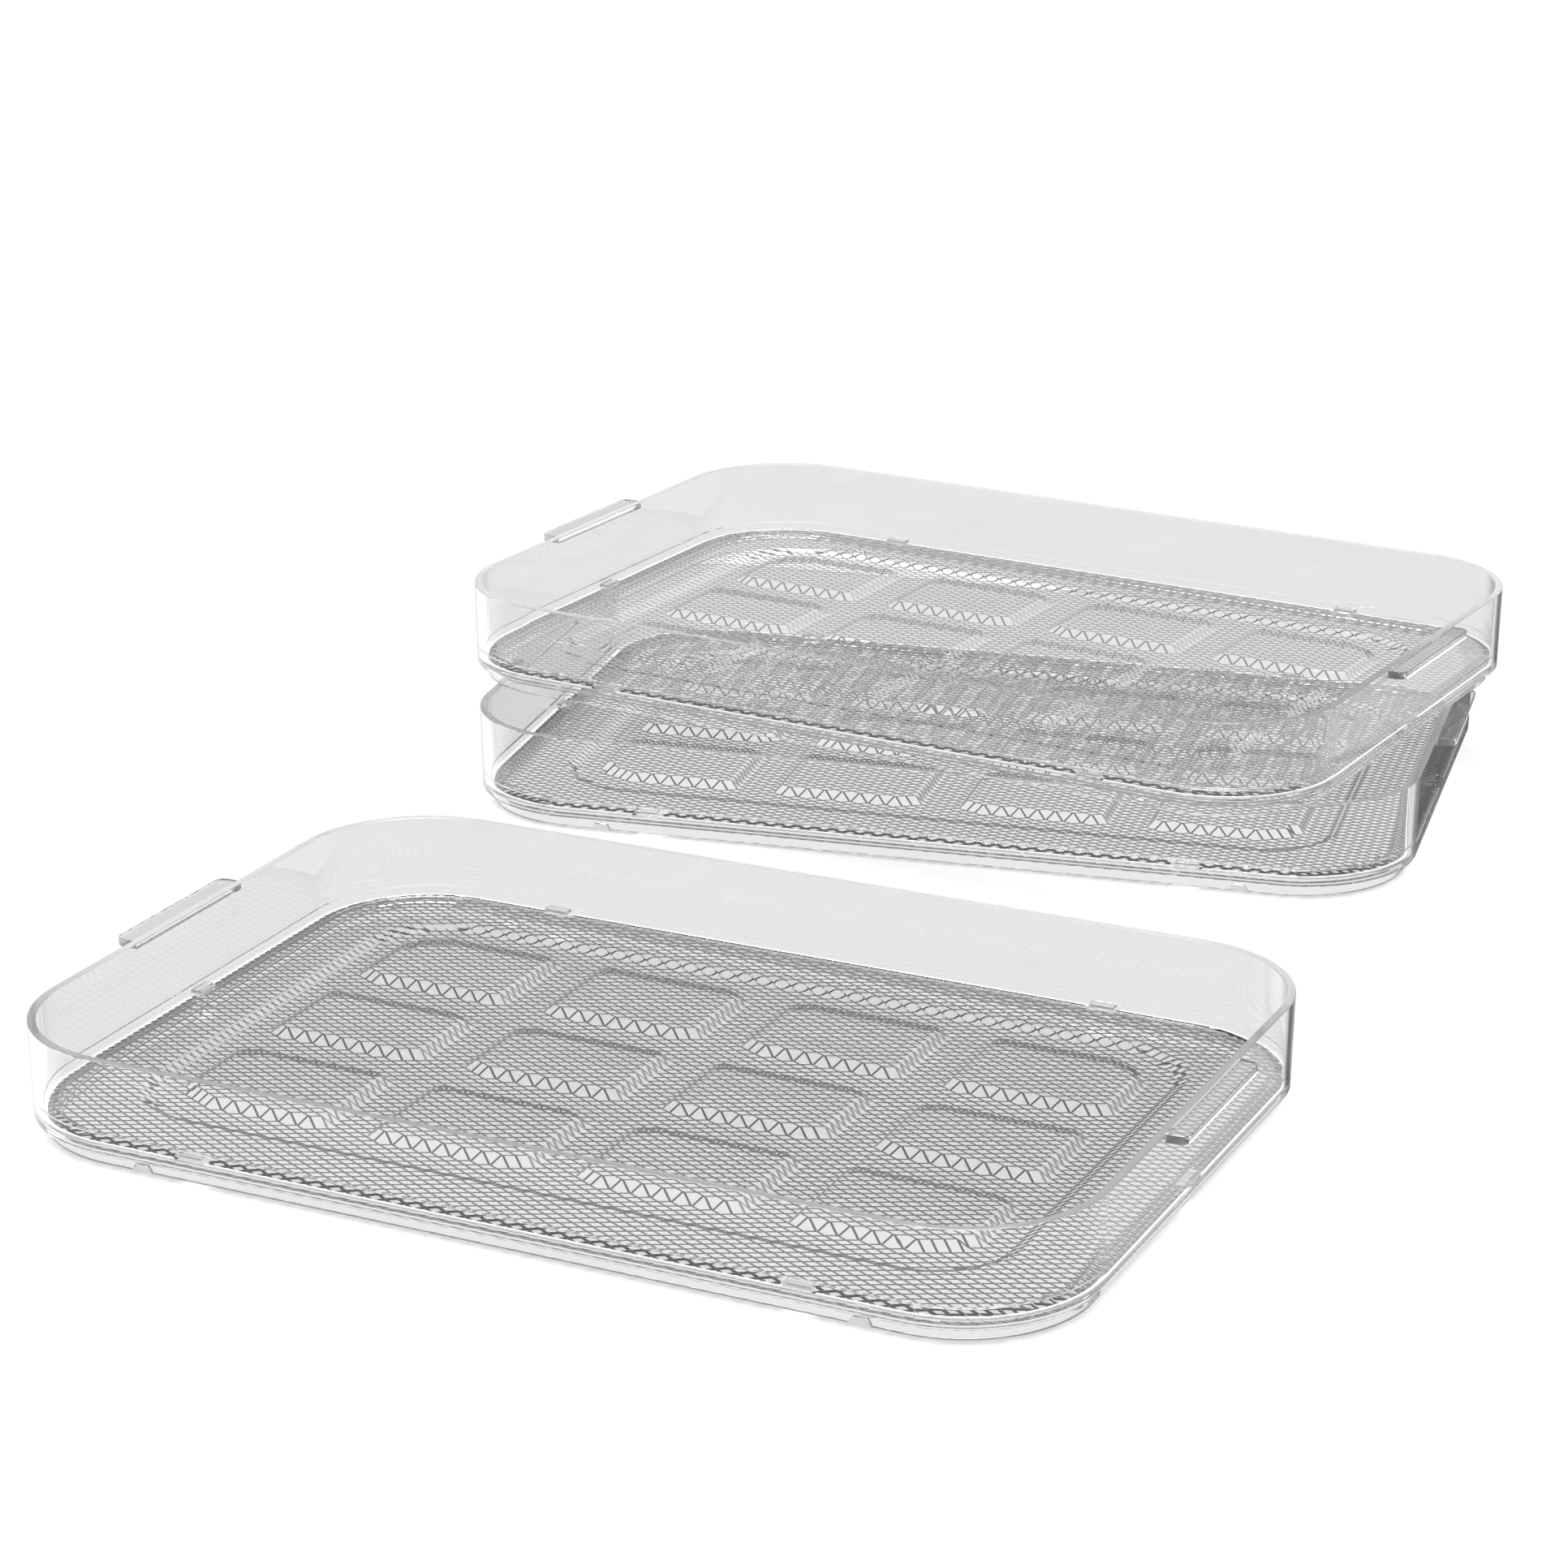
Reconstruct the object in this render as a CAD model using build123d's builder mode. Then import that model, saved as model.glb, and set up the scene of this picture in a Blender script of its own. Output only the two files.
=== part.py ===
from build123d import *
from math import hypot, radians, tan
import os

# A set of three alike drying trays of clear plastic: two stacked askew, one standing in front of them.
# X runs along the front tray's long side, Y to the back, Z up. The origin is under the middle of the set.

os.makedirs("parts", exist_ok=True)

# Outline and wall of a tray
tray_length = 330.0
tray_width = 222.8
corner_radius = 41.6
rim_height = 33.2
wall_thickness = 2.6
wall_lean = 0.5

# Foot ring that stands on the table, or inside the rim of the tray below
foot_height = 4.5
foot_inset = 4.0
foot_thickness = 2.0
notch_length = 6.5
notch_height = 2.0
notch_angle = 60.0
notch_spacing = 222.0

# Ledge that carries the border of the net
ledge_thickness = 2.0

# Handle tabs on the short sides, flush with the rim
tab_length = 58.0
tab_reach = 6.3
tab_thickness = 2.6
tab_corner = 3.0

# Clips that hold the net down on the ledge
clip_spacing = 188.0
clip_width = 8.0
clip_overhang = 0.6
clip_thickness = 2.2
clip_clearance = 0.2

# Formed net: a solid border, a sunken field and raised pads
net_thickness = 1.3
net_clearance = 0.3
border_width = 5.6
lip_width = 2.1
lip_drop = 0.6
field_inset = 25.6
field_corner = 26.0
field_drop = 2.0
pad_columns = 4
pad_rows = 3
pad_margin = 13.2
pad_corridor = 14.5
pad_corner = 5.5
pad_array_corner = 14.0
pad_rise = 2.5
form_angle = 45.0

# Diamond gaps of the net, each standing for a block of the fine mesh
gap_pitch_x = 66.0
gap_pitch_y = 34.1
strand_width = 5.0

# How the trays stand
stack_gap = 82.8
lower_shift = -38.1
lower_turn = 9.85
upper_shift_x = -2.6
upper_shift_y = 5.5
upper_turn = -4.27

# Heights that follow from the sizes above
ledge_top = foot_height + ledge_thickness
border_top = ledge_top + net_thickness
field_top = border_top - field_drop
clip_bottom = border_top + clip_clearance
net_base = field_top - 2 * net_thickness

# Insets from the rim's outline that follow from the sizes above
net_inset = wall_lean + wall_thickness + net_clearance
border_inset = net_inset + border_width
clip_reach = border_inset + clip_overhang
clip_root = wall_lean + wall_thickness / 2

# Field and pads inside the border
form_run = field_drop * tan(radians(form_angle))
field_length = tray_length - 2 * field_inset
field_width = tray_width - 2 * field_inset
pad_array_length = field_length - 2 * (form_run + pad_margin)
pad_array_width = field_width - 2 * (form_run + pad_margin)
pad_length = (pad_array_length - (pad_columns - 1) * pad_corridor) / pad_columns
pad_width = (pad_array_width - (pad_rows - 1) * pad_corridor) / pad_rows

# Half diagonals of a gap, with half a strand off each side of its cell
cell_inradius = gap_pitch_x * gap_pitch_y / 2 / hypot(gap_pitch_x, gap_pitch_y)
gap_share = 1 - strand_width / 2 / cell_inradius
gap_half_x = gap_share * gap_pitch_x / 2
gap_half_y = gap_share * gap_pitch_y / 2


def tray_outline(inset, mode=Mode.ADD):
    return RectangleRounded(
        tray_length - 2 * inset, tray_width - 2 * inset, corner_radius - inset, mode=mode
    )


def tab_outline():
    return RectangleRounded(tray_length + 2 * tab_reach, tab_length, tab_corner)


def footprint(turn):
    with BuildSketch(Plane.XY.rotated((0, 0, turn))) as outline:
        tray_outline(0)
        tab_outline()
    return outline.sketch.bounding_box()


def gap_centres():
    # Points of the diamond lattice that lie inside the border
    columns = int((tray_length / 2 - border_inset) / (gap_pitch_x / 2))
    rows = int((tray_width / 2 - border_inset) / (gap_pitch_y / 2))
    places = [(column, row) for column in range(-columns, columns + 1) for row in range(-rows, rows + 1)]
    return [(c * gap_pitch_x / 2, r * gap_pitch_y / 2) for c, r in places if (c + r) % 2 == 0]


# Frame: leaning wall, handle tabs, ledge, foot ring and clips
with BuildPart() as tray_frame:
    with BuildSketch(Plane.XY.offset(foot_height)):
        tray_outline(wall_lean)
    with BuildSketch(Plane.XY.offset(rim_height)):
        tray_outline(0)
    loft(ruled=True)
    with BuildSketch(Plane.XY.offset(rim_height - tab_thickness)):
        tab_outline()
    extrude(amount=tab_thickness)
    # Hollow above the ledge
    with BuildSketch(Plane.XY.offset(ledge_top)):
        tray_outline(wall_lean + wall_thickness)
    with BuildSketch(Plane.XY.offset(rim_height)):
        tray_outline(wall_thickness)
    loft(ruled=True, mode=Mode.SUBTRACT)
    # Open floor inside the ledge
    with BuildSketch(Plane.XY.offset(foot_height)):
        tray_outline(border_inset)
    extrude(amount=ledge_thickness, mode=Mode.SUBTRACT)
    # Foot ring and its drain notches
    with BuildSketch():
        tray_outline(foot_inset)
        tray_outline(foot_inset + foot_thickness, mode=Mode.SUBTRACT)
    extrude(amount=foot_height)
    with BuildSketch(Plane.XZ):
        with GridLocations(notch_spacing, 0, 2, 1):
            Trapezoid(notch_length, notch_height, notch_angle, align=(Align.CENTER, Align.MIN))
    extrude(amount=tray_width / 2, both=True, mode=Mode.SUBTRACT)
    with BuildSketch(Plane.YZ):
        Trapezoid(notch_length, notch_height, notch_angle, align=(Align.CENTER, Align.MIN))
    extrude(amount=tray_length / 2, both=True, mode=Mode.SUBTRACT)
    # Clips over the border of the net, two on each long side and one on each short side
    with BuildSketch(Plane.XY.offset(clip_bottom)):
        with GridLocations(clip_spacing, 0, 2, 1):
            Rectangle(clip_width, tray_width - 2 * clip_root)
        Rectangle(tray_length - 2 * clip_root, clip_width)
        Rectangle(tray_length - 2 * clip_reach, tray_width - 2 * clip_reach, mode=Mode.SUBTRACT)
    extrude(amount=clip_thickness)

# Upper side of the formed net, as a solid block
with BuildPart() as net_crest:
    with BuildSketch(Plane.XY.offset(net_base)):
        tray_outline(net_inset)
    extrude(amount=border_top - net_base)
    # Sunken field with sloping sides
    with BuildSketch(Plane.XY.offset(field_top)):
        RectangleRounded(field_length - 2 * form_run, field_width - 2 * form_run, field_corner - form_run)
    with BuildSketch(Plane.XY.offset(border_top)):
        RectangleRounded(field_length, field_width, field_corner)
    loft(ruled=True, mode=Mode.SUBTRACT)
    # Raised pads in rows, the outermost corners of the block more rounded
    with BuildSketch(Plane.XY.offset(field_top)):
        with GridLocations(pad_length + pad_corridor, pad_width + pad_corridor, pad_columns, pad_rows):
            RectangleRounded(pad_length, pad_width, pad_corner)
        RectangleRounded(pad_array_length, pad_array_width, pad_array_corner, mode=Mode.INTERSECT)
    extrude(amount=pad_rise, taper=form_angle)

# Net: the sheet under that upper side, opened by diamond gaps
with BuildPart() as tray_net:
    add(net_crest.part)
    add(net_crest.part.moved(Location((0, 0, -net_thickness))), mode=Mode.SUBTRACT)
    with BuildSketch(Plane.XY.offset(net_base)):
        with Locations(*gap_centres()):
            Polygon((gap_half_x, 0), (0, gap_half_y), (-gap_half_x, 0), (0, -gap_half_y))
        tray_outline(border_inset, mode=Mode.INTERSECT)
    extrude(amount=rim_height, mode=Mode.SUBTRACT)
    # Lip round the border, a little lower
    with BuildSketch(Plane.XY.offset(border_top)):
        tray_outline(net_inset)
        tray_outline(net_inset + lip_width, mode=Mode.SUBTRACT)
    extrude(amount=-lip_drop, mode=Mode.SUBTRACT)

# Places of the trays: the stack stands behind the front tray, the upper tray on the rim of the lower one
front_box = footprint(0)
lower_box = footprint(lower_turn)
upper_box = footprint(upper_turn)
front_centre = Vector(0, 0, 0)
lower_centre = Vector(lower_shift, front_box.max.Y + stack_gap + lower_box.max.Y, 0)
upper_centre = lower_centre + Vector(upper_shift_x, upper_shift_y, rim_height)
corners = []
for centre, box in ((front_centre, front_box), (lower_centre, lower_box), (upper_centre, upper_box)):
    corners += [centre + box.min, centre + box.max]
middle_x = (min(c.X for c in corners) + max(c.X for c in corners)) / 2
middle_y = (min(c.Y for c in corners) + max(c.Y for c in corners)) / 2
set_middle = Vector(middle_x, middle_y, 0)
tray_planes = {
    "front": Plane(front_centre - set_middle),
    "lower": Plane(lower_centre - set_middle).rotated((0, 0, lower_turn)),
    "upper": Plane(upper_centre - set_middle).rotated((0, 0, upper_turn)),
}

for tray, plane in tray_planes.items():
    with BuildPart() as frame:
        add(tray_frame.part.moved(plane.location))
    frame.part.label = f"{tray}_frame"
    export_step(frame.part, f"parts/{tray}_frame.step")
    with BuildPart() as net:
        add(tray_net.part.moved(plane.location))
    net.part.label = f"{tray}_net"
    export_step(net.part, f"parts/{tray}_net.step")
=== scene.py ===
from math import cos, hypot, pi, radians, sin

import bmesh
import bpy
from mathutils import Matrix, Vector


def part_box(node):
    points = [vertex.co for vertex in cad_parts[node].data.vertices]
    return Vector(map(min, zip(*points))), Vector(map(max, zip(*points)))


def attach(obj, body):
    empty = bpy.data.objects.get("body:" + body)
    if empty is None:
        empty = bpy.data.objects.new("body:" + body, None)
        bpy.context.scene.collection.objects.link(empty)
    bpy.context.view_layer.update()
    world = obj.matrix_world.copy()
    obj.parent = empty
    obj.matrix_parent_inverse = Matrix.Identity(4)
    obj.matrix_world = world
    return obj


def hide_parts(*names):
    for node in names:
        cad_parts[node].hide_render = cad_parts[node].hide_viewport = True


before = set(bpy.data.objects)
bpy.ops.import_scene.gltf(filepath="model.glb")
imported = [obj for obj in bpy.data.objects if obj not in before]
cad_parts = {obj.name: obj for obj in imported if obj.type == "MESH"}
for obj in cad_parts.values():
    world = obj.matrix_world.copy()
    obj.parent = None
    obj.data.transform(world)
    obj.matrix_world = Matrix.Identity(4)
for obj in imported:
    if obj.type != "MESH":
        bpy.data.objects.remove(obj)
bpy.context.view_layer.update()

mm = 0.001

# one tray, measured from the middle of its outline, everything in mm
tray = {
    "length": 330.0,
    "width": 222.8,
    "corner": 41.6,
    "cornerSteps": 27,
    "rim": 33.2,
    "wall": 2.6,
    "lean": 0.5,
    "wallIn": 0.44,  # how far the inside of the wall comes in, down to the shoulder
    "shoulder": 10.3,
    "shoulderIn": 0.34,
    "shoulderDown": 0.23,
    "lowWallIn": 0.04,  # and from the shoulder down to the ledge
    "ledgeTop": 6.5,
    "ledgeUnder": 4.5,
    "ledgeEdge": 9.0,
    "footOuter": 4.0,
    "footInner": 6.0,
    "footBase": 0.04,  # a hair off the table, so the two faces don't flicker
}
halfLength, halfWidth = tray["length"] / 2, tray["width"] / 2
atWall = 8.0  # within this of the outline counts as at the wall
square = 0.9  # a face turned this squarely to an axis counts as facing along it


def dress(piece, *looks):
    piece.data.materials.clear()
    for look in looks:
        piece.data.materials.append(look)


def deselectAll():
    if bpy.context.object and bpy.context.object.mode != "OBJECT":
        bpy.ops.object.mode_set(mode="OBJECT")
    bpy.ops.object.select_all(action="DESELECT")


def activate(piece):
    deselectAll()
    piece.select_set(True)
    bpy.context.view_layer.objects.active = piece


def edit(piece):
    activate(piece)
    bpy.ops.object.mode_set(mode="EDIT")


def doneEditing():
    bpy.ops.object.mode_set(mode="OBJECT")


def middle(item):
    if isinstance(item, bmesh.types.BMVert):
        return item.co.copy()
    return sum((v.co for v in item.verts), Vector((0, 0, 0))) / len(item.verts)


def pick(kind, test):
    # leaves selected only what passes, by its place in mm
    bpy.ops.mesh.select_mode(type=kind)
    bpy.ops.mesh.select_all(action="DESELECT")
    shape = bmesh.from_edit_mesh(bpy.context.object.data)
    for item in {"VERT": shape.verts, "EDGE": shape.edges, "FACE": shape.faces}[kind]:
        if test(middle(item) / mm, item):
            item.select_set(True)
    shape.select_flush_mode()
    bmesh.update_edit_mesh(bpy.context.object.data)


def paint(piece, slot, test):
    # the faces that pass get the look in that slot
    pick("FACE", test)
    piece.active_material_index = slot
    bpy.ops.object.material_slot_assign()


def move(x, y, z):
    bpy.ops.transform.translate(value=(x * mm, y * mm, z * mm))


def extrudeFaces(x, y, z):
    bpy.ops.mesh.extrude_region_move(TRANSFORM_OT_translate={"value": (x * mm, y * mm, z * mm)})


def cutThrough(place, facing, clear=False):
    x, y, z = place
    bpy.ops.mesh.select_all(action="SELECT")
    bpy.ops.mesh.bisect(
        plane_co=(x * mm, y * mm, z * mm), plane_no=facing, clear_outer=clear, threshold=1e-7
    )


def cutX(x):
    cutThrough((x, 0, 0), (1, 0, 0))


def cutY(y):
    cutThrough((0, y, 0), (0, 1, 0))


def cutZ(z):
    cutThrough((0, 0, z), (0, 0, 1))


def faceOutwards():
    bpy.ops.mesh.select_all(action="SELECT")
    bpy.ops.mesh.normals_make_consistent(inside=False)


def roundedSheet(name, inset, z):
    # flat sheet with the tray's outline, drawn in by inset
    deselectAll()
    bpy.ops.mesh.primitive_plane_add(size=1, location=(0, 0, z * mm))
    sheet = bpy.context.object
    sheet.name = name
    bpy.ops.transform.resize(
        value=((tray["length"] - 2 * inset) * mm, (tray["width"] - 2 * inset) * mm, 1)
    )
    bpy.ops.object.transform_apply(location=True, rotation=True, scale=True)
    edit(sheet)
    bpy.ops.mesh.select_all(action="SELECT")
    bpy.ops.mesh.bevel(
        offset=(tray["corner"] - inset) * mm, segments=tray["cornerSteps"], profile=0.5, affect="VERTICES"
    )
    bpy.ops.mesh.select_mode(type="FACE")
    bpy.ops.mesh.select_all(action="SELECT")
    return sheet


def step(inward, down=0.0):
    # carries the picked face inwards, and down if asked
    bpy.ops.mesh.inset(thickness=inward * mm, depth=-down * mm, use_boundary=True, use_even_offset=True)


def joinPieces(first, *others):
    activate(first)
    for other in others:
        other.select_set(True)
    bpy.ops.object.join()
    return first


def soften(piece, width):
    activate(piece)
    bevel = piece.modifiers.new("softEdges", "BEVEL")
    bevel.width = width * mm
    bevel.segments = 2
    bevel.limit_method = "ANGLE"
    bevel.angle_limit = radians(40)
    bevel.use_clamp_overlap = True
    bpy.ops.object.modifier_apply(modifier="softEdges")
    bpy.ops.object.shade_smooth_by_angle(angle=radians(15))


def grey(shade):
    return (shade, shade, shade, 1)


def along(nodes, links, value, direction):
    node = nodes.new("ShaderNodeVectorMath")
    node.operation = "DOT_PRODUCT"
    node.inputs[1].default_value = direction
    links.new(value, node.inputs[0])
    return node.outputs["Value"]


def maths(nodes, links, kind, first, second):
    node = nodes.new("ShaderNodeMath")
    node.operation = kind
    for value, socket in zip((first, second), node.inputs):
        if isinstance(value, (int, float)):
            socket.default_value = value
        else:
            links.new(value, socket)
    return node.outputs["Value"]


# looks
def mouldedFlow():
    # faint streaks and clouding left by moulding: colour share, roughness and height
    group = bpy.data.node_groups.new("mouldedFlow", "ShaderNodeTree")
    for label in ("Share", "Roughness", "Height"):
        socket = group.interface.new_socket(label, in_out="OUTPUT", socket_type="NodeSocketFloat")
        socket.min_value, socket.max_value = 0, 1
    nodes, links = group.nodes, group.links
    place = nodes.new("ShaderNodeTexCoord")
    turn = nodes.new("ShaderNodeMapping")
    turn.inputs["Scale"].default_value = (1, 1, 2.5)
    links.new(place.outputs["Object"], turn.inputs["Vector"])
    noises = []
    for scale, detail in ((14, 2), (45, 3)):
        noise = nodes.new("ShaderNodeTexNoise")
        noise.inputs["Scale"].default_value = scale
        noise.inputs["Detail"].default_value = detail
        links.new(turn.outputs["Vector"], noise.inputs["Vector"])
        noises.append(noise.outputs["Fac"])
    clouds, streaks = noises
    gloss = nodes.new("ShaderNodeMapRange")
    gloss.inputs["From Min"].default_value = 0.35
    gloss.inputs["From Max"].default_value = 0.75
    gloss.inputs["To Min"].default_value = 0.0
    gloss.inputs["To Max"].default_value = 0.006
    links.new(streaks, gloss.inputs["Value"])
    out = nodes.new("NodeGroupOutput")
    links.new(clouds, out.inputs["Share"])
    links.new(gloss.outputs["Result"], out.inputs["Roughness"])
    links.new(streaks, out.inputs["Height"])
    return group


plastic = {
    "bends": 1.49,
    "ripple": 0.004,
    "rippleDepth": 0.0005,
    # a path that turns more often than longPath inside the wall ends in the painted grey glow given below,
    # in place of the light it would bring
    "longPath": 15,  # light that has turned this often is caught inside the wall
    "paintedDeepGlow": 0.4,  # and ends as this plain grey
}


def clearPlastic(name, pale, deep, clear, haze, letLampsThrough, paintedGlow=0):
    # the last argument is a painted glow: light the surface gives off though it is no lamp, standing in for
    # what a thin edge collects
    look = bpy.data.materials.new(name)
    look.use_nodes = True
    look.cycles.emission_sampling = "NONE"  # too faint to light anything else
    nodes, links = look.node_tree.nodes, look.node_tree.links
    body = nodes["Principled BSDF"]
    body.inputs["Transmission Weight"].default_value = clear
    body.inputs["IOR"].default_value = plastic["bends"]
    body.inputs["Emission Color"].default_value = grey(1)
    body.inputs["Emission Strength"].default_value = paintedGlow
    group = nodes.new("ShaderNodeGroup")
    group.node_tree = flow
    tint = nodes.new("ShaderNodeMix")
    tint.data_type = "RGBA"
    tint.inputs["A"].default_value = grey(pale)
    tint.inputs["B"].default_value = grey(deep)
    links.new(group.outputs["Share"], tint.inputs["Factor"])
    links.new(tint.outputs["Result"], body.inputs["Base Color"])
    satin = maths(nodes, links, "ADD", group.outputs["Roughness"], haze)
    links.new(satin, body.inputs["Roughness"])
    ripple = nodes.new("ShaderNodeBump")
    ripple.inputs["Strength"].default_value = plastic["ripple"]
    ripple.inputs["Distance"].default_value = plastic["rippleDepth"]
    links.new(group.outputs["Height"], ripple.inputs["Height"])
    links.new(ripple.outputs["Normal"], body.inputs["Normal"])
    if letLampsThrough:
        path = nodes.new("ShaderNodeLightPath")
        gone = nodes.new("ShaderNodeBsdfTransparent")
        mixed = nodes.new("ShaderNodeMixShader")
        links.new(path.outputs["Is Shadow Ray"], mixed.inputs["Fac"])
        links.new(body.outputs["BSDF"], mixed.inputs[1])
        links.new(gone.outputs["BSDF"], mixed.inputs[2])
        # painted glow: past longPath turns the wall gives off plain grey
        turned = maths(nodes, links, "GREATER_THAN", path.outputs["Ray Depth"], plastic["longPath"])
        ending = nodes.new("ShaderNodeEmission")
        ending.inputs["Color"].default_value = grey(plastic["paintedDeepGlow"])
        paintedDeepGlow = nodes.new("ShaderNodeMixShader")
        links.new(turned, paintedDeepGlow.inputs["Fac"])
        links.new(mixed.outputs["Shader"], paintedDeepGlow.inputs[1])
        links.new(ending.outputs["Emission"], paintedDeepGlow.inputs[2])
        links.new(paintedDeepGlow.outputs["Shader"], nodes["Material Output"].inputs["Surface"])
    return look


paintedLightWay = (-0.43, 0.9, 0)  # towards the back and the left of a tray


def paintedPalerBehind(look, shade, low, high, start, end):
    # painted light: from start to end, in mm past the middle of the tray's box, the rim's painted shade
    # grows paler towards the back and left
    nodes, links = look.node_tree.nodes, look.node_tree.links
    place = nodes.new("ShaderNodeTexCoord").outputs["Object"]
    towards = along(nodes, links, place, paintedLightWay)
    boxMiddle = paintedLightWay[0] * (low[0] + high[0]) / 2 + paintedLightWay[1] * (low[1] + high[1]) / 2
    share = nodes.new("ShaderNodeMapRange")
    share.inputs["From Min"].default_value = boxMiddle + start * mm
    share.inputs["From Max"].default_value = boxMiddle + end * mm
    links.new(towards, share.inputs["Value"])
    paler = nodes.new("ShaderNodeMix")
    paler.data_type = "RGBA"
    paler.inputs["B"].default_value = grey(shade)
    links.new(share.outputs["Result"], paler.inputs["Factor"])
    colour = nodes["Principled BSDF"].inputs["Base Color"]
    links.new(colour.links[0].from_socket, paler.inputs["A"])
    links.new(paler.outputs["Result"], colour)


print("materials")
flow = mouldedFlow()
frameLook = clearPlastic("clearFrame", 1.0, 0.96, 1, 0, True)
# the foot's underside: dark grey, a painted shade where the foot stands on the table
soleShadeLook = clearPlastic("clearSolePaintedShade", 0.3, 0.25, 0.3, 0.2, True)
bandLook = clearPlastic("clearBand", 0.98, 0.94, 1, 0, True)
# near-white and glowing: painted highlights on the bead and the tabs' outer edges
beadHighlightLook = clearPlastic("clearBeadPaintedHighlight", 0.97, 0.92, 0.15, 0.2, True, 0.3)
tabEdgeHighlightLook = clearPlastic("clearTabEdgePaintedHighlight", 0.97, 0.92, 0.15, 0.2, True, 0.75)
# near black: painted shade on the steep strands at the field's edge
fieldEdgeShadeLook = clearPlastic("clearFieldEdgePaintedShade", 0.03, 0.025, 0.15, 0, False)

# what differs from tray to tray: painted shades, the strands' painted glow, and where the rim's painted
# shade grows paler, lit and shaded copies of one plastic
shades = {
    "lower": {"strand": 0.12, "strandPaintedGlow": 0.08, "row": 0.07, "rim": 0.43, "back": 0.72, "from": -60, "to": 60},
    "upper": {"strand": 0.24, "strandPaintedGlow": 0.16, "row": 0.14, "rim": 0.42, "back": 0.95, "from": -110, "to": -10},
    "front": {"strand": 0.12, "strandPaintedGlow": 0.08, "row": 0.07, "rim": 0.47, "back": 0.86, "from": -25, "to": 45},
}
netShadeLooks, rowShadeLooks, padEndLightLooks, rimShadeLooks = {}, {}, {}, {}
for side, shade in shades.items():
    strand, strandPaintedGlow, row, rim = shade["strand"], shade["strandPaintedGlow"], shade["row"], shade["rim"]
    thin = side == "upper"  # its net doesn't shade the tray below it
    # painted shade and painted glow in the net's strands, a shade for each tray
    netShadeLooks[side] = clearPlastic(side + "ClearNetPaintedShade", strand, strand * 0.86, 0.25, 0.25, thin, strandPaintedGlow)
    # painted shade in the last row of the net, darker than the strands
    rowShadeLooks[side] = clearPlastic(side + "ClearLastRowPaintedShade", row, row * 0.86, 0.4, 0, False)
    # painted light: the strands climbing the pads' short sides are paler and glow more
    padEndLightLooks[side] = clearPlastic(
        side + "ClearPadEndPaintedLight", strand * 2, strand * 1.7, 0.25, 0.25, thin, strandPaintedGlow + 0.1
    )
    # painted shade on the rim: a grey in the clear plastic, set per tray
    rimShadeLooks[side] = clearPlastic(side + "ClearRimPaintedShade", rim, rim * 0.9, 0.35, 0.12, True)
    low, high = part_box(side + "_frame")
    paintedPalerBehind(rimShadeLooks[side], shade["back"], low, high, shade["from"], shade["to"])


# frame: leaning wall with a flat rim, tabs, ledge, foot ring with drain notches, six clips
# tabs bright: height of the strip along the tabs' outer edges that carries a painted highlight
tabs = {"half": 29.0, "reach": 6.3, "thick": 2.6, "corner": 3.0, "bright": 0.9}
clips = {"along": 94.0, "half": 4.0, "low": 8.0, "high": 8.9, "reach": 3.6}
notches = {"along": 111.0, "base": 3.25, "top": 2.1, "high": 2.0}


def makeWalls():
    # ledge and foot ring first, then the wall from the rim down, and the two bridged
    under = roundedSheet("under", tray["lean"], tray["ledgeUnder"])
    step(tray["footOuter"] - tray["lean"])
    extrudeFaces(0, 0, tray["footBase"] - tray["ledgeUnder"])
    step(tray["footInner"] - tray["footOuter"])
    extrudeFaces(0, 0, tray["ledgeUnder"] - tray["footBase"])
    step(tray["ledgeEdge"] - tray["footInner"])
    extrudeFaces(0, 0, tray["ledgeTop"] - tray["ledgeUnder"])
    bpy.ops.mesh.delete(type="FACE")
    doneEditing()

    walls = roundedSheet("walls", 0, tray["rim"])
    step(tray["wall"])
    step(tray["wallIn"], tray["rim"] - tray["shoulder"])
    step(tray["shoulderIn"], tray["shoulderDown"])
    step(tray["lowWallIn"], tray["shoulder"] - tray["shoulderDown"] - tray["ledgeTop"])
    step(tray["ledgeEdge"] - tray["wall"] - tray["wallIn"] - tray["shoulderIn"] - tray["lowWallIn"])
    bpy.ops.mesh.delete(type="FACE")
    doneEditing()

    joinPieces(walls, under)
    edit(walls)
    bpy.ops.mesh.select_all(action="SELECT")
    bpy.ops.mesh.remove_doubles(threshold=0.01 * mm)
    pick("EDGE", lambda p, e: e.is_boundary)
    bpy.ops.mesh.bridge_edge_loops()
    faceOutwards()
    return walls


def drawTabs():
    # out of the short walls, flush with the rim
    tabUnder = tray["rim"] - tabs["thick"]
    for y in (-tabs["half"], tabs["half"]):
        cutY(y)
    # the second cut bounds the strip with the painted highlight
    for up in (0, tabs["bright"]):
        cutZ(tabUnder + up)
    for side in (-1, 1):
        pick(
            "FACE",
            lambda p, f: abs(f.normal.z) < 0.3
            and side * p.x > halfLength - 1
            and abs(p.y) < tabs["half"]
            and p.z > tabUnder,
        )
        extrudeFaces(side * tabs["reach"], 0, 0)
    # the upright edges at their ends, rounded
    pick(
        "EDGE",
        lambda p, e: abs(p.x) > halfLength + tabs["reach"] - 0.2
        and abs(abs(p.y) - tabs["half"]) < 0.1
        and abs(e.verts[0].co.z - e.verts[1].co.z) > 0.5 * mm,
    )
    bpy.ops.mesh.bevel(offset=tabs["corner"] * mm, segments=8, profile=0.5, affect="EDGES")


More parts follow.
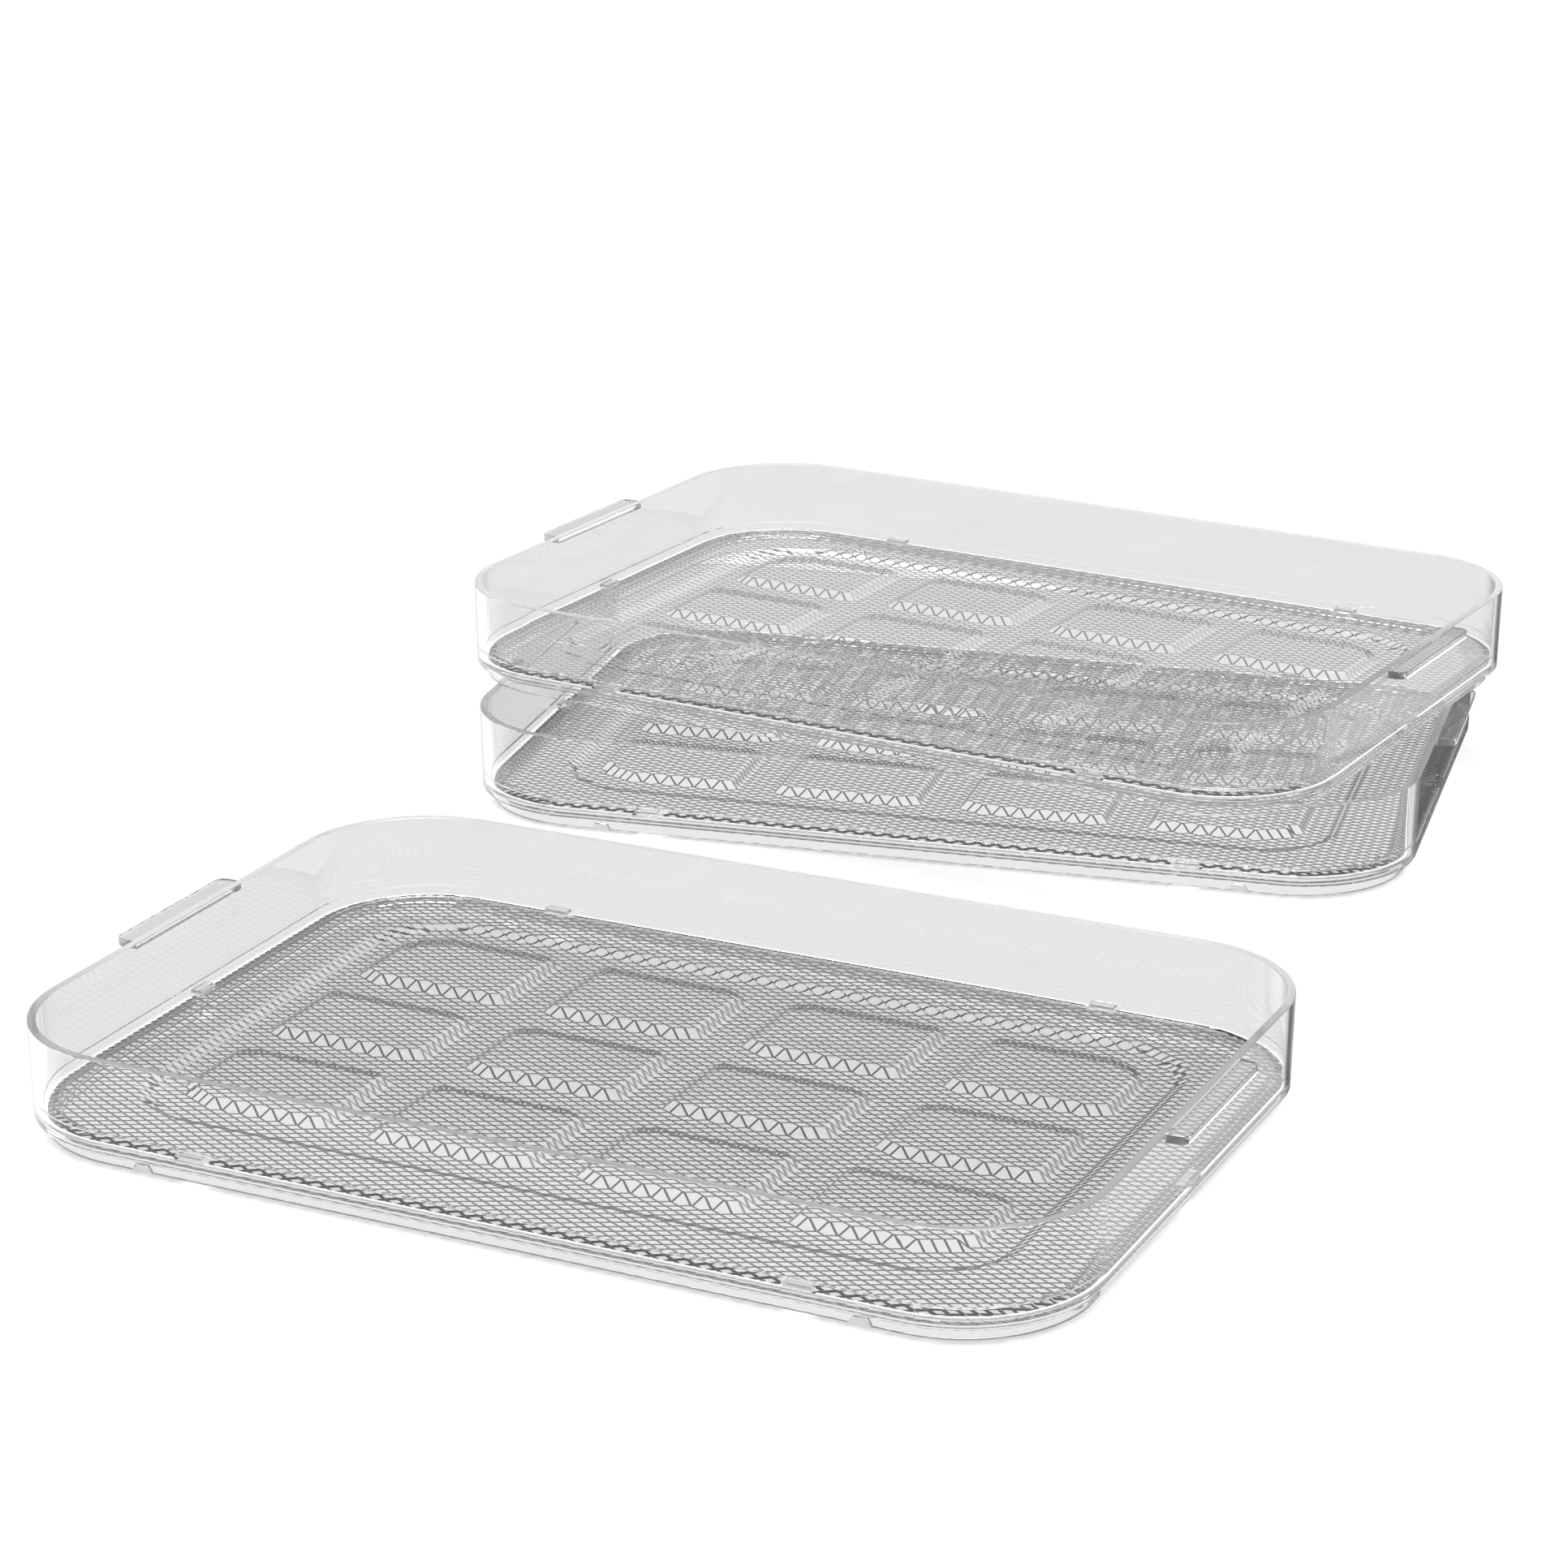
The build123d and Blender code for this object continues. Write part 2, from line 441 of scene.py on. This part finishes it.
def drawClips():
    # inwards over the edge of the net
    inside = 4  # the wall's inner face lies within this of the outline
    for x in (-clips["along"], clips["along"]):
        for edge in (-clips["half"], clips["half"]):
            cutX(x + edge)
    for y in (-clips["half"], clips["half"]):
        cutY(y)
    for z in (clips["low"], clips["high"]):
        cutZ(z)
    for side in (-1, 1):
        pick(
            "FACE",
            lambda p, f: clips["low"] < p.z < clips["high"]
            and abs(abs(p.x) - clips["along"]) < clips["half"]
            and side * p.y > halfWidth - inside
            and f.normal.y * side < -square,
        )
        extrudeFaces(0, -side * clips["reach"], 0)
        pick(
            "FACE",
            lambda p, f: clips["low"] < p.z < clips["high"]
            and abs(p.y) < clips["half"]
            and side * p.x > halfLength - inside
            and f.normal.x * side < -square,
        )
        extrudeFaces(-side * clips["reach"], 0, 0)


def pushNotches():
    # drain notches, up into the foot ring
    edges = (-notches["base"], -notches["top"], notches["top"], notches["base"])
    for x in (-notches["along"], notches["along"]):
        for edge in edges:
            cutX(x + edge)
    for edge in edges:
        cutY(edge)
    reach = notches["top"] + 0.1
    pick(
        "VERT",
        lambda p, v: p.z < 0.5
        and (
            abs(abs(p.x) - notches["along"]) < reach and abs(p.y) > halfWidth - atWall
            or abs(p.y) < reach and abs(p.x) > halfLength - atWall
        ),
    )
    move(0, 0, notches["high"])
    faceOutwards()


def makeFrame():
    walls = makeWalls()
    drawTabs()
    drawClips()
    pushNotches()
    doneEditing()
    soften(walls, 0.25)
    dress(walls, frameLook, rimShadeLooks["front"], tabEdgeHighlightLook, soleShadeLook)
    edit(walls)
    # the rim's flat and the tabs' ends get the rim's painted shade, the tabs' outer edges a painted
    # highlight up to the bright cut, and the foot's underside a painted shade
    tabEnd = halfLength + tabs["reach"] - 0.2
    paintedHighlightTop = tray["rim"] - tabs["thick"] + tabs["bright"]
    paint(
        walls,
        1,
        lambda p, f: f.normal.z > square and p.z > tray["rim"] - 0.1 and abs(p.x) < halfLength + 0.3,
    )
    paint(walls, 1, lambda p, f: abs(f.normal.y) > 0.7 and abs(p.x) > halfLength + 0.2)
    paint(walls, 2, lambda p, f: abs(f.normal.x) > square and abs(p.x) > tabEnd and p.z < paintedHighlightTop)
    paint(walls, 3, lambda p, f: f.normal.z < -square and p.z < 0.1)
    doneEditing()
    return walls


# net: a lattice of slim diamonds, sunk into a field, with twelve raised pads
net = {
    "columns": 52,
    "rows": 68,
    "acrossX": 6.3,
    "acrossY": 3.21,
    "strand": 0.58,
    "thick": 0.12,
    "top": 7.8,
    "edge": 4.3,  # inset of its outer end, where the bead begins
    "outerRow": 7.05,  # outside this the last row slopes down to the bead
    "outerSlope": ((6.3, 0.2), (4.7, 0.35)),  # inset, and how far down it goes there
    "lastRowDeeper": 0.35,
    "drop": 2.0,
    "fieldX": 137.0,
    "fieldY": 84.3,
    "fieldCorner": 25.0,
    "fieldEdgeOut": (1.6, 0.8, 1),  # the strands cut finer at the field's edge: out to here
    "fieldEdgeIn": (-4.8, -2.4, -3),  # and in to here
    "fieldSlope": ((-0.25, 0.1), (0.25, 0.4), (0.75, 0.4), (1.25, 0.1)),  # half-cells in, share of the drop
    "padRise": 2.75,
    "padStepX": 66.15,
    "padStepY": 51.36,
    "padX": 25.2,
    "padY": 18.5,
    "padCorner": 6.0,
    "middleRowLess": 1.6,
    "arrayCorner": 14.0,
    # the last row's painted shade along the long sides reaches this far
    "paintedShadeX": 123.0,  # the last row is dark along the long sides, as far as here
    "paintedShadeY": 70.0,
    "paintedShadeSlant": 0.4,
    "steep": 0.85,
}


def insideRounded(p, cx, cy, halfX, halfY, corner):
    dx = abs(p.x - cx) - (halfX - corner)
    dy = abs(p.y - cy) - (halfY - corner)
    return hypot(max(dx, 0), max(dy, 0)) < corner if max(dx, dy) > 0 else True


def outside(p, inset):
    # beyond the tray's outline drawn in by inset
    return not insideRounded(p, 0, 0, halfLength - inset, halfWidth - inset, tray["corner"] - inset)


def inField(p, widerX, widerY, rounder):
    corner = net["fieldCorner"] + rounder
    return insideRounded(p, 0, 0, net["fieldX"] + widerX, net["fieldY"] + widerY, corner)


def atClip(p):
    onLong = abs(abs(p.x) - clips["along"]) < band["gap"] and abs(p.y) > halfWidth - atWall
    return onLong or abs(p.y) < band["gap"] and abs(p.x) > halfLength - atWall


def nearestKnot(p):
    # the crossing of strands that a point belongs to, so both sides of a strand go up together
    stepX, stepY = net["acrossX"] / 2, net["acrossY"] / 2
    i, j = round(p.x / stepX), round(p.y / stepY)
    if (i + j) % 2:
        offX, offY = p.x / stepX - i, p.y / stepY - j
        if abs(offX) > abs(offY):
            i += 1 if offX > 0 else -1
        else:
            j += 1 if offY > 0 else -1
    return Vector((i * stepX, j * stepY, p.z))


def nearestPad(p):
    # middle of the nearest of four columns and three rows
    column = min(3, max(0, round(p.x / net["padStepX"] + 1.5))) - 1.5
    row = min(1, max(-1, round(p.y / net["padStepY"])))
    return column * net["padStepX"], row * net["padStepY"]


def onPad(p):
    cx, cy = nearestPad(p)
    halfY = net["padY"] if cy else net["padY"] - net["middleRowLess"]
    arrayX = 1.5 * net["padStepX"] + net["padX"]
    arrayY = net["padStepY"] + net["padY"]
    return insideRounded(p, cx, cy, net["padX"], halfY, net["padCorner"]) and insideRounded(
        p, 0, 0, arrayX, arrayY, net["arrayCorner"]
    )


def atPadEnd(p, f):
    # strands that climb the short sides of a pad
    heights = [v.co.z for v in f.verts]
    cx, cy = nearestPad(p)
    climbs = max(heights) - min(heights) > 1.2 * mm
    return climbs and abs(p.x - cx) > net["padX"] - 1 and abs(p.y - cy) < net["padY"]


def trimToOutline(inset):
    # cuts off what lies outside the tray's outline drawn in by inset
    corner = tray["corner"] - inset
    cx, cy = halfLength - tray["corner"], halfWidth - tray["corner"]
    steps = 12
    for turn in range(4 * steps):
        angle = turn / steps * pi / 2
        nx, ny = cos(angle), sin(angle)
        kx = cx if nx > -1e-6 else -cx
        ky = cy if ny > -1e-6 else -cy
        cutThrough((kx + corner * nx, ky + corner * ny, 0), (nx, ny, 0), clear=True)


def makeLattice():
    deselectAll()
    columns, rows = net["columns"], net["rows"]
    bpy.ops.mesh.primitive_grid_add(
        x_subdivisions=columns, y_subdivisions=rows, size=1, location=(0, 0, net["top"] * mm)
    )
    lattice = bpy.context.object
    lattice.name = "lattice"
    bpy.ops.transform.resize(value=(columns * net["acrossX"] * mm, rows * net["acrossY"] * mm, 1))
    bpy.ops.object.transform_apply(location=True, rotation=True, scale=True)
    edit(lattice)
    bpy.ops.mesh.select_all(action="SELECT")
    bpy.ops.mesh.poke()
    # the square edges go, and leave diamonds
    pick(
        "EDGE",
        lambda p, e: not e.is_boundary
        and (
            abs(e.verts[0].co.x - e.verts[1].co.x) < 0.1 * mm
            or abs(e.verts[0].co.y - e.verts[1].co.y) < 0.1 * mm
        ),
    )
    bpy.ops.mesh.dissolve_edges(use_verts=False)
    bpy.ops.mesh.select_mode(type="FACE")
    bpy.ops.mesh.select_all(action="SELECT")
    bpy.ops.mesh.inset(thickness=net["strand"] / 2 * mm, use_individual=True, use_boundary=True)
    bpy.ops.mesh.delete(type="FACE")
    trimToOutline(net["edge"])
    pick("FACE", lambda p, f: atClip(p) and outside(p, net["outerRow"]))
    bpy.ops.mesh.delete(type="FACE")
    return lattice


def formNet():
    # the last row bent down, the field sunk with a rounded edge, then the pads raised
    for inset, down in net["outerSlope"]:
        pick("VERT", lambda p, v: outside(p, inset))
        move(0, 0, -down)
    pick("FACE", lambda p, f: inField(p, *net["fieldEdgeOut"]) and not inField(p, *net["fieldEdgeIn"]))
    bpy.ops.mesh.subdivide(number_cuts=1)
    for further, share in net["fieldSlope"]:
        inX, inY = further * net["acrossX"] / 2, further * net["acrossY"] / 2
        pick("VERT", lambda p, v: inField(p, -inX, -inY, 0))
        move(0, 0, -net["drop"] * share)
    pick("VERT", lambda p, v: onPad(nearestKnot(p)))
    move(0, 0, net["padRise"])
    faceOutwards()


def makeNet():
    lattice = makeLattice()
    formNet()
    doneEditing()
    depth = lattice.modifiers.new("strandDepth", "SOLIDIFY")
    depth.thickness = net["thick"] * mm
    depth.offset = -1
    bpy.ops.object.modifier_apply(modifier="strandDepth")
    dress(lattice, netShadeLooks["front"], rowShadeLooks["front"], fieldEdgeShadeLook, padEndLightLooks["front"])
    edit(lattice)
    pick("FACE", lambda p, f: f.normal.z < -0.5 and outside(p, net["outerRow"]))
    move(0, 0, -net["lastRowDeeper"])
    # painted shade: the last row darker along the long sides, where it is packed into the ledge
    paint(
        lattice,
        1,
        lambda p, f: outside(p, net["outerRow"])
        and abs(p.y) - net["paintedShadeY"] > net["paintedShadeSlant"] * max(0, abs(p.x) - net["paintedShadeX"]),
    )
    # painted shade: the steep strands of the field's long edges are darker too
    paint(
        lattice,
        2,
        lambda p, f: abs(f.normal.z) < net["steep"]
        and abs(abs(p.y) - net["fieldY"]) < net["acrossY"]
        and abs(p.x) < net["fieldX"] - net["fieldCorner"],
    )
    # painted light on the strands that climb the pads' short sides
    paint(lattice, 3, atPadEnd)  # these are paler
    doneEditing()
    return lattice


# two narrow bands on the net: a ridge inside the last row, and the bead that is its outer edge, near-white
# and glowing as a painted highlight
band = {
    "ridgeOuter": 7.1,
    "ridgeInner": 8.1,
    "ridgeLow": 7.82,
    "ridgeHigh": 8.2,
    "beadOuter": 3.62,
    "beadInner": 4.28,
    "beadLow": 6.75,
    "beadHigh": 7.35,
    "gap": 5.0,  # half the opening in the bead at a clip
    "softEdge": 0.15,
}


def flatRing(name, outer, inner, low):
    ring = roundedSheet(name, outer, low)
    step(inner - outer)
    bpy.ops.mesh.delete(type="FACE")
    return ring


def thicken(ring, height):
    bpy.ops.mesh.select_all(action="SELECT")
    extrudeFaces(0, 0, height)
    faceOutwards()
    doneEditing()
    soften(ring, band["softEdge"])


def makeRidge():
    ridge = flatRing("ridge", band["ridgeOuter"], band["ridgeInner"], band["ridgeLow"])
    thicken(ridge, band["ridgeHigh"] - band["ridgeLow"])
    dress(ridge, bandLook)
    return ridge


def makeBead():
    # left open at the clips
    bead = flatRing("bead", band["beadOuter"], band["beadInner"], band["beadLow"])
    for edge in (-band["gap"], band["gap"]):
        cutX(clips["along"] + edge)
        cutX(-clips["along"] + edge)
        cutY(edge)
    pick("FACE", lambda p, f: atClip(p))
    bpy.ops.mesh.delete(type="FACE")
    thicken(bead, band["beadHigh"] - band["beadLow"])
    # painted highlight along the bead
    dress(bead, beadHighlightLook)
    return bead


def placeCopy(piece, name, turn, low, high):
    # its own copy, turned and set down where the tray stands
    activate(piece)
    bpy.ops.object.duplicate(linked=False)
    copied = bpy.context.object
    copied.name = name
    copied.data.name = name
    copied.rotation_euler = (0, 0, radians(turn))
    copied.location = ((low[0] + high[0]) / 2, (low[1] + high[1]) / 2, low[2])
    bpy.ops.object.transform_apply(location=True, rotation=True, scale=True)
    return copied


print("modelling the frame")
frameShape = makeFrame()
print("modelling the net")
netShape = makeNet()
print("modelling the bands round the net")
ridgeShape = makeRidge()
bandShape = joinPieces(ridgeShape, makeBead())

print("setting the trays out")
stands = {"lower": 9.85, "upper": -4.27, "front": 0.0}  # how far each tray is turned, in degrees
for side, turn in stands.items():
    low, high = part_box(side + "_frame")
    body = side + "_tray"
    wall = placeCopy(frameShape, side + "_walls", turn, low, high)
    # each tray gets its own painted shades and painted glow on rim and net
    wall.data.materials[1] = rimShadeLooks[side]
    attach(wall, body)
    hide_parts(side + "_frame")
    for shape, word in ((netShape, "_mesh"), (bandShape, "_band")):
        piece = placeCopy(shape, side + word, turn, low, high)
        if word == "_mesh":
            piece.data.materials[0] = netShadeLooks[side]
            piece.data.materials[1] = rowShadeLooks[side]
            piece.data.materials[3] = padEndLightLooks[side]
        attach(piece, body)
        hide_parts(side + "_net")
for shape in (frameShape, netShape, bandShape):
    bpy.data.objects.remove(shape)


def tableLook():
    look = bpy.data.materials.new("table")
    look.use_nodes = True
    paper = look.node_tree.nodes["Principled BSDF"]
    paper.inputs["Base Color"].default_value = grey(0.94)
    paper.inputs["Roughness"].default_value = 1
    paper.inputs["Specular IOR Level"].default_value = 0
    return look


def ramped(nodes, links, value, stops):
    # value from -1 to 1, read off along a row of stops
    spread = nodes.new("ShaderNodeMapRange")
    spread.inputs["From Min"].default_value = -1
    links.new(value, spread.inputs["Value"])
    ramp = nodes.new("ShaderNodeValToRGB")
    for at, shade in stops:
        stop = ramp.color_ramp.elements.new((at + 1) / 2)
        stop.color = grey(shade)
    ramp.color_ramp.elements.remove(ramp.color_ramp.elements[0])
    ramp.color_ramp.elements.remove(ramp.color_ramp.elements[-1])
    links.new(spread.outputs["Result"], ramp.inputs["Fac"])
    return ramp.outputs["Color"]


# the room by direction: each stop is a place from -1 to 1 and a shade
room = {
    "up": (0, 0, 1),
    "right": (0.901, 0.433, 0),
    "back": (-0.433, 0.901, 0),
    "walls": (  # by height
        (-1, 0.84),
        (-0.02, 0.83),
        (0.05, 0.83),
        (0.14, 0.9),
        (0.3, 0.35),
        (0.7, 0.45),
        (0.82, 0.8),
        (1, 0.8),
    ),
    "sheet": ((0.8, 0.2), (0.9, 1)),  # bright sheet overhead, by height
    "sheetGain": 5,
    # the boards from left to right
    "boards": ((-0.4, 1.0), (-0.24, 0.68), (0.22, 0.68), (0.32, 0.05), (0.5, 0.05), (0.6, 0.68)),
    "boardGain": 1.47,
    "boardHeight": ((-0.6, 1), (-0.25, 1), (-0.15, 0.15), (0.1, 0.15), (0.3, 0.8), (0.6, 0)),
    "boardBehind": ((0.1, 0), (0.35, 1)),
    "dim": 0.03,  # what it lends to surfaces that aren't clear
}


def roomLook():
    # white to the eye; what the plastic shows is a grey room with a bright sheet overhead,
    # a white board at the back left and a dark one at the back right
    world = bpy.data.worlds.new("room")
    bpy.context.scene.world = world
    world.use_nodes = True
    nodes, links = world.node_tree.nodes, world.node_tree.links
    place = nodes.new("ShaderNodeTexCoord").outputs["Generated"]
    height = along(nodes, links, place, room["up"])
    right = along(nodes, links, place, room["right"])
    back = along(nodes, links, place, room["back"])
    walls = ramped(nodes, links, height, room["walls"])
    boards = maths(nodes, links, "MULTIPLY", ramped(nodes, links, right, room["boards"]), room["boardGain"])
    level = ramped(nodes, links, height, room["boardHeight"])
    behind = ramped(nodes, links, back, room["boardBehind"])
    share = maths(nodes, links, "MULTIPLY", level, behind)
    board = nodes.new("ShaderNodeMix")
    board.inputs["A"].default_value = 1
    links.new(share, board.inputs["Factor"])
    links.new(boards, board.inputs["B"])
    sheet = maths(nodes, links, "MULTIPLY", ramped(nodes, links, height, room["sheet"]), room["sheetGain"])
    bright = maths(nodes, links, "MULTIPLY", sheet, board.outputs["Result"])
    lit = nodes.new("ShaderNodeVectorMath")
    lit.operation = "SCALE"
    links.new(walls, lit.inputs[0])
    links.new(bright, lit.inputs["Scale"])
    path = nodes.new("ShaderNodeLightPath")
    seen = maths(nodes, links, "MAXIMUM", path.outputs["Is Transmission Ray"], path.outputs["Is Glossy Ray"])
    inPlastic = nodes.new("ShaderNodeMix")
    inPlastic.data_type = "RGBA"
    inPlastic.inputs["A"].default_value = grey(room["dim"])
    links.new(seen, inPlastic.inputs["Factor"])
    links.new(lit.outputs["Vector"], inPlastic.inputs["B"])
    toTheEye = nodes.new("ShaderNodeMix")
    toTheEye.data_type = "RGBA"
    toTheEye.inputs["B"].default_value = grey(1)
    links.new(path.outputs["Is Camera Ray"], toTheEye.inputs["Factor"])
    links.new(inPlastic.outputs["Result"], toTheEye.inputs["A"])
    links.new(toTheEye.outputs["Result"], nodes["Background"].inputs["Color"])


print("table, light and camera")
deselectAll()
bpy.ops.mesh.primitive_plane_add(size=16, location=(0, 0, 0))
table = bpy.context.object
table.name = "table"
dress(table, tableLook())
table.visible_transmission = False  # the plastic shows the room instead
table.visible_glossy = False
roomLook()

view = {"place": (0.54518, -1.18488, 0.4926), "down": 19.08, "round": 25.67, "lens": 97.32}

# one lamp above and behind the trays, and a faint one from all round that only fills
for name, tilt, energy, spread in (("overhead", -15, 3.1, 28), ("fill", 0, 0.5, 170)):
    bpy.ops.object.light_add(
        type="SUN", location=(0, 0, 2), rotation=(radians(tilt), 0, radians(view["round"]))
    )
    lamp = bpy.context.object
    lamp.name = name
    lamp.data.energy = energy
    lamp.data.angle = radians(spread)
    lamp.data.cycles.use_multiple_importance_sampling = name == "overhead"

bpy.ops.object.camera_add(
    location=view["place"], rotation=(radians(90 - view["down"]), 0, radians(view["round"]))
)
camera = bpy.context.object
camera.data.lens = view["lens"]
camera.data.sensor_width = 36
camera.data.dof.use_dof = False
bpy.context.scene.camera = camera

scene = bpy.context.scene
scene.view_settings.view_transform = "Standard"
scene.cycles.max_bounces = 24
scene.cycles.transmission_bounces = 24
scene.cycles.glossy_bounces = 24
scene.cycles.caustics_reflective = False
scene.cycles.caustics_refractive = False
